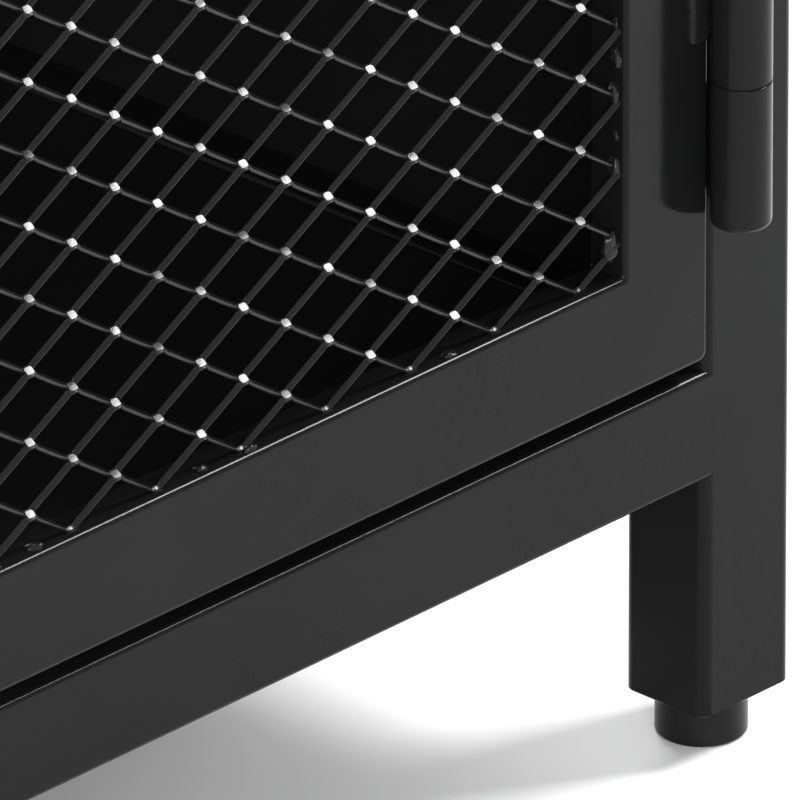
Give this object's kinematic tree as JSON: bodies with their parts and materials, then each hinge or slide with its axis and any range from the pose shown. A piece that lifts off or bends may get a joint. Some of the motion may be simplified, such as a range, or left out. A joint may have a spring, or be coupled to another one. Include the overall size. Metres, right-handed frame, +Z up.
{
  "type": "tv stand with mesh doors",
  "caption": "Black steel tube television stand with mesh doors on barrel hinges, an open centre bay with a shelf, and levelling feet.",
  "frame": {"origin": "on the floor, at the centre of the stand's footprint with its door knobs included", "axes": "+X to the right seen from the front, +Y towards the back, +Z up"},
  "size_m": [1.1, 0.4262, 0.5],
  "materials": {
    "frame_paint": "semi-gloss black powder coat on welded tube",
    "door_paint": "semi-gloss black powder coat on the door frames",
    "mesh_paint": "semi-gloss black powder coat on raised expanded steel",
    "sheet_paint": "semi-gloss black powder coat on sheet steel",
    "hinge_paint": "black powder coat over weld-on barrel hinges",
    "knob_paint": "black painted turned steel knob",
    "pin_steel": "bare steel hinge pin",
    "screw_steel": "zinc-plated screw",
    "foot_plastic": "moulded black plastic",
    "insert_plastic": "moulded black plastic",
    "catch_plastic": "moulded black plastic with a magnet",
    "top_laminate": "board with a black wood-grain laminate"
  },
  "bodies": {
    "frame": {"back_bottom_rail": "frame_paint", "back_top_rail": "frame_paint", "bay_floor_centre": "sheet_paint", "bay_floor_left": "sheet_paint", "bay_floor_right": "sheet_paint", "centre_shelf": "sheet_paint", "cross_rail_left": "frame_paint", "cross_rail_right": "frame_paint", "divider_panel_left": "sheet_paint", "divider_panel_right": "sheet_paint", "divider_post_back_left": "frame_paint", "divider_post_back_right": "frame_paint", "divider_post_front_left": "frame_paint", "divider_post_front_right": "frame_paint", "foot_inserts": "insert_plastic", "front_bottom_rail": "frame_paint", "front_top_rail": "frame_paint", "hinge_lower_barrel_bottom_left": "hinge_paint", "hinge_lower_barrel_bottom_right": "hinge_paint", "hinge_lower_barrel_top_left": "hinge_paint", "hinge_lower_barrel_top_right": "hinge_paint", "hinge_pins": "pin_steel", "leg_back_left": "frame_paint", "leg_back_right": "frame_paint", "leg_front_left": "frame_paint", "leg_front_right": "frame_paint", "magnet_catches": "catch_plastic", "shelf_clips": "sheet_paint", "side_bottom_rail_left": "frame_paint", "side_bottom_rail_right": "frame_paint", "side_panel_left": "sheet_paint", "side_panel_right": "sheet_paint", "side_top_rail_left": "frame_paint", "side_top_rail_right": "frame_paint", "top_board": "top_laminate", "top_screws": "screw_steel", "top_tabs": "sheet_paint"},
    "door_left": {"door_bottom_rail_left": "door_paint", "door_hinge_stile_left": "door_paint", "door_knob_left": "knob_paint", "door_latch_stile_left": "door_paint", "door_mesh_left": "mesh_paint", "door_top_rail_left": "door_paint", "hinge_upper_barrel_bottom_left": "hinge_paint", "hinge_upper_barrel_top_left": "hinge_paint"},
    "door_right": {"door_bottom_rail_right": "door_paint", "door_hinge_stile_right": "door_paint", "door_knob_right": "knob_paint", "door_latch_stile_right": "door_paint", "door_mesh_right": "mesh_paint", "door_top_rail_right": "door_paint", "hinge_upper_barrel_bottom_right": "hinge_paint", "hinge_upper_barrel_top_right": "hinge_paint"},
    "foot_back_left_body": {"foot_back_left": "foot_plastic"},
    "foot_back_right_body": {"foot_back_right": "foot_plastic"},
    "foot_front_left_body": {"foot_front_left": "foot_plastic"},
    "foot_front_right_body": {"foot_front_right": "foot_plastic"}
  },
  "joints": [
    {"name": "door_right_hinge", "type": "hinge", "parent": "frame", "child": "door_right", "pos_m": [0.5246, -0.19578, 0.275], "axis": [0, 0, 1], "range_deg": [0, 170]},
    {"name": "door_left_hinge", "type": "hinge", "parent": "frame", "child": "door_left", "pos_m": [-0.5246, -0.19578, 0.275], "axis": [0, 0, -1], "range_deg": [0, 170]},
    {"name": "foot_back_left_level", "type": "slide", "parent": "frame", "child": "foot_back_left_body", "axis": [0, 0, -1], "range_m": [0, 0.01]},
    {"name": "foot_back_right_level", "type": "slide", "parent": "frame", "child": "foot_back_right_body", "axis": [0, 0, -1], "range_m": [0, 0.01]},
    {"name": "foot_front_left_level", "type": "slide", "parent": "frame", "child": "foot_front_left_body", "axis": [0, 0, -1], "range_m": [0, 0.01]},
    {"name": "foot_front_right_level", "type": "slide", "parent": "frame", "child": "foot_front_right_body", "axis": [0, 0, -1], "range_m": [0, 0.01]}
  ]
}
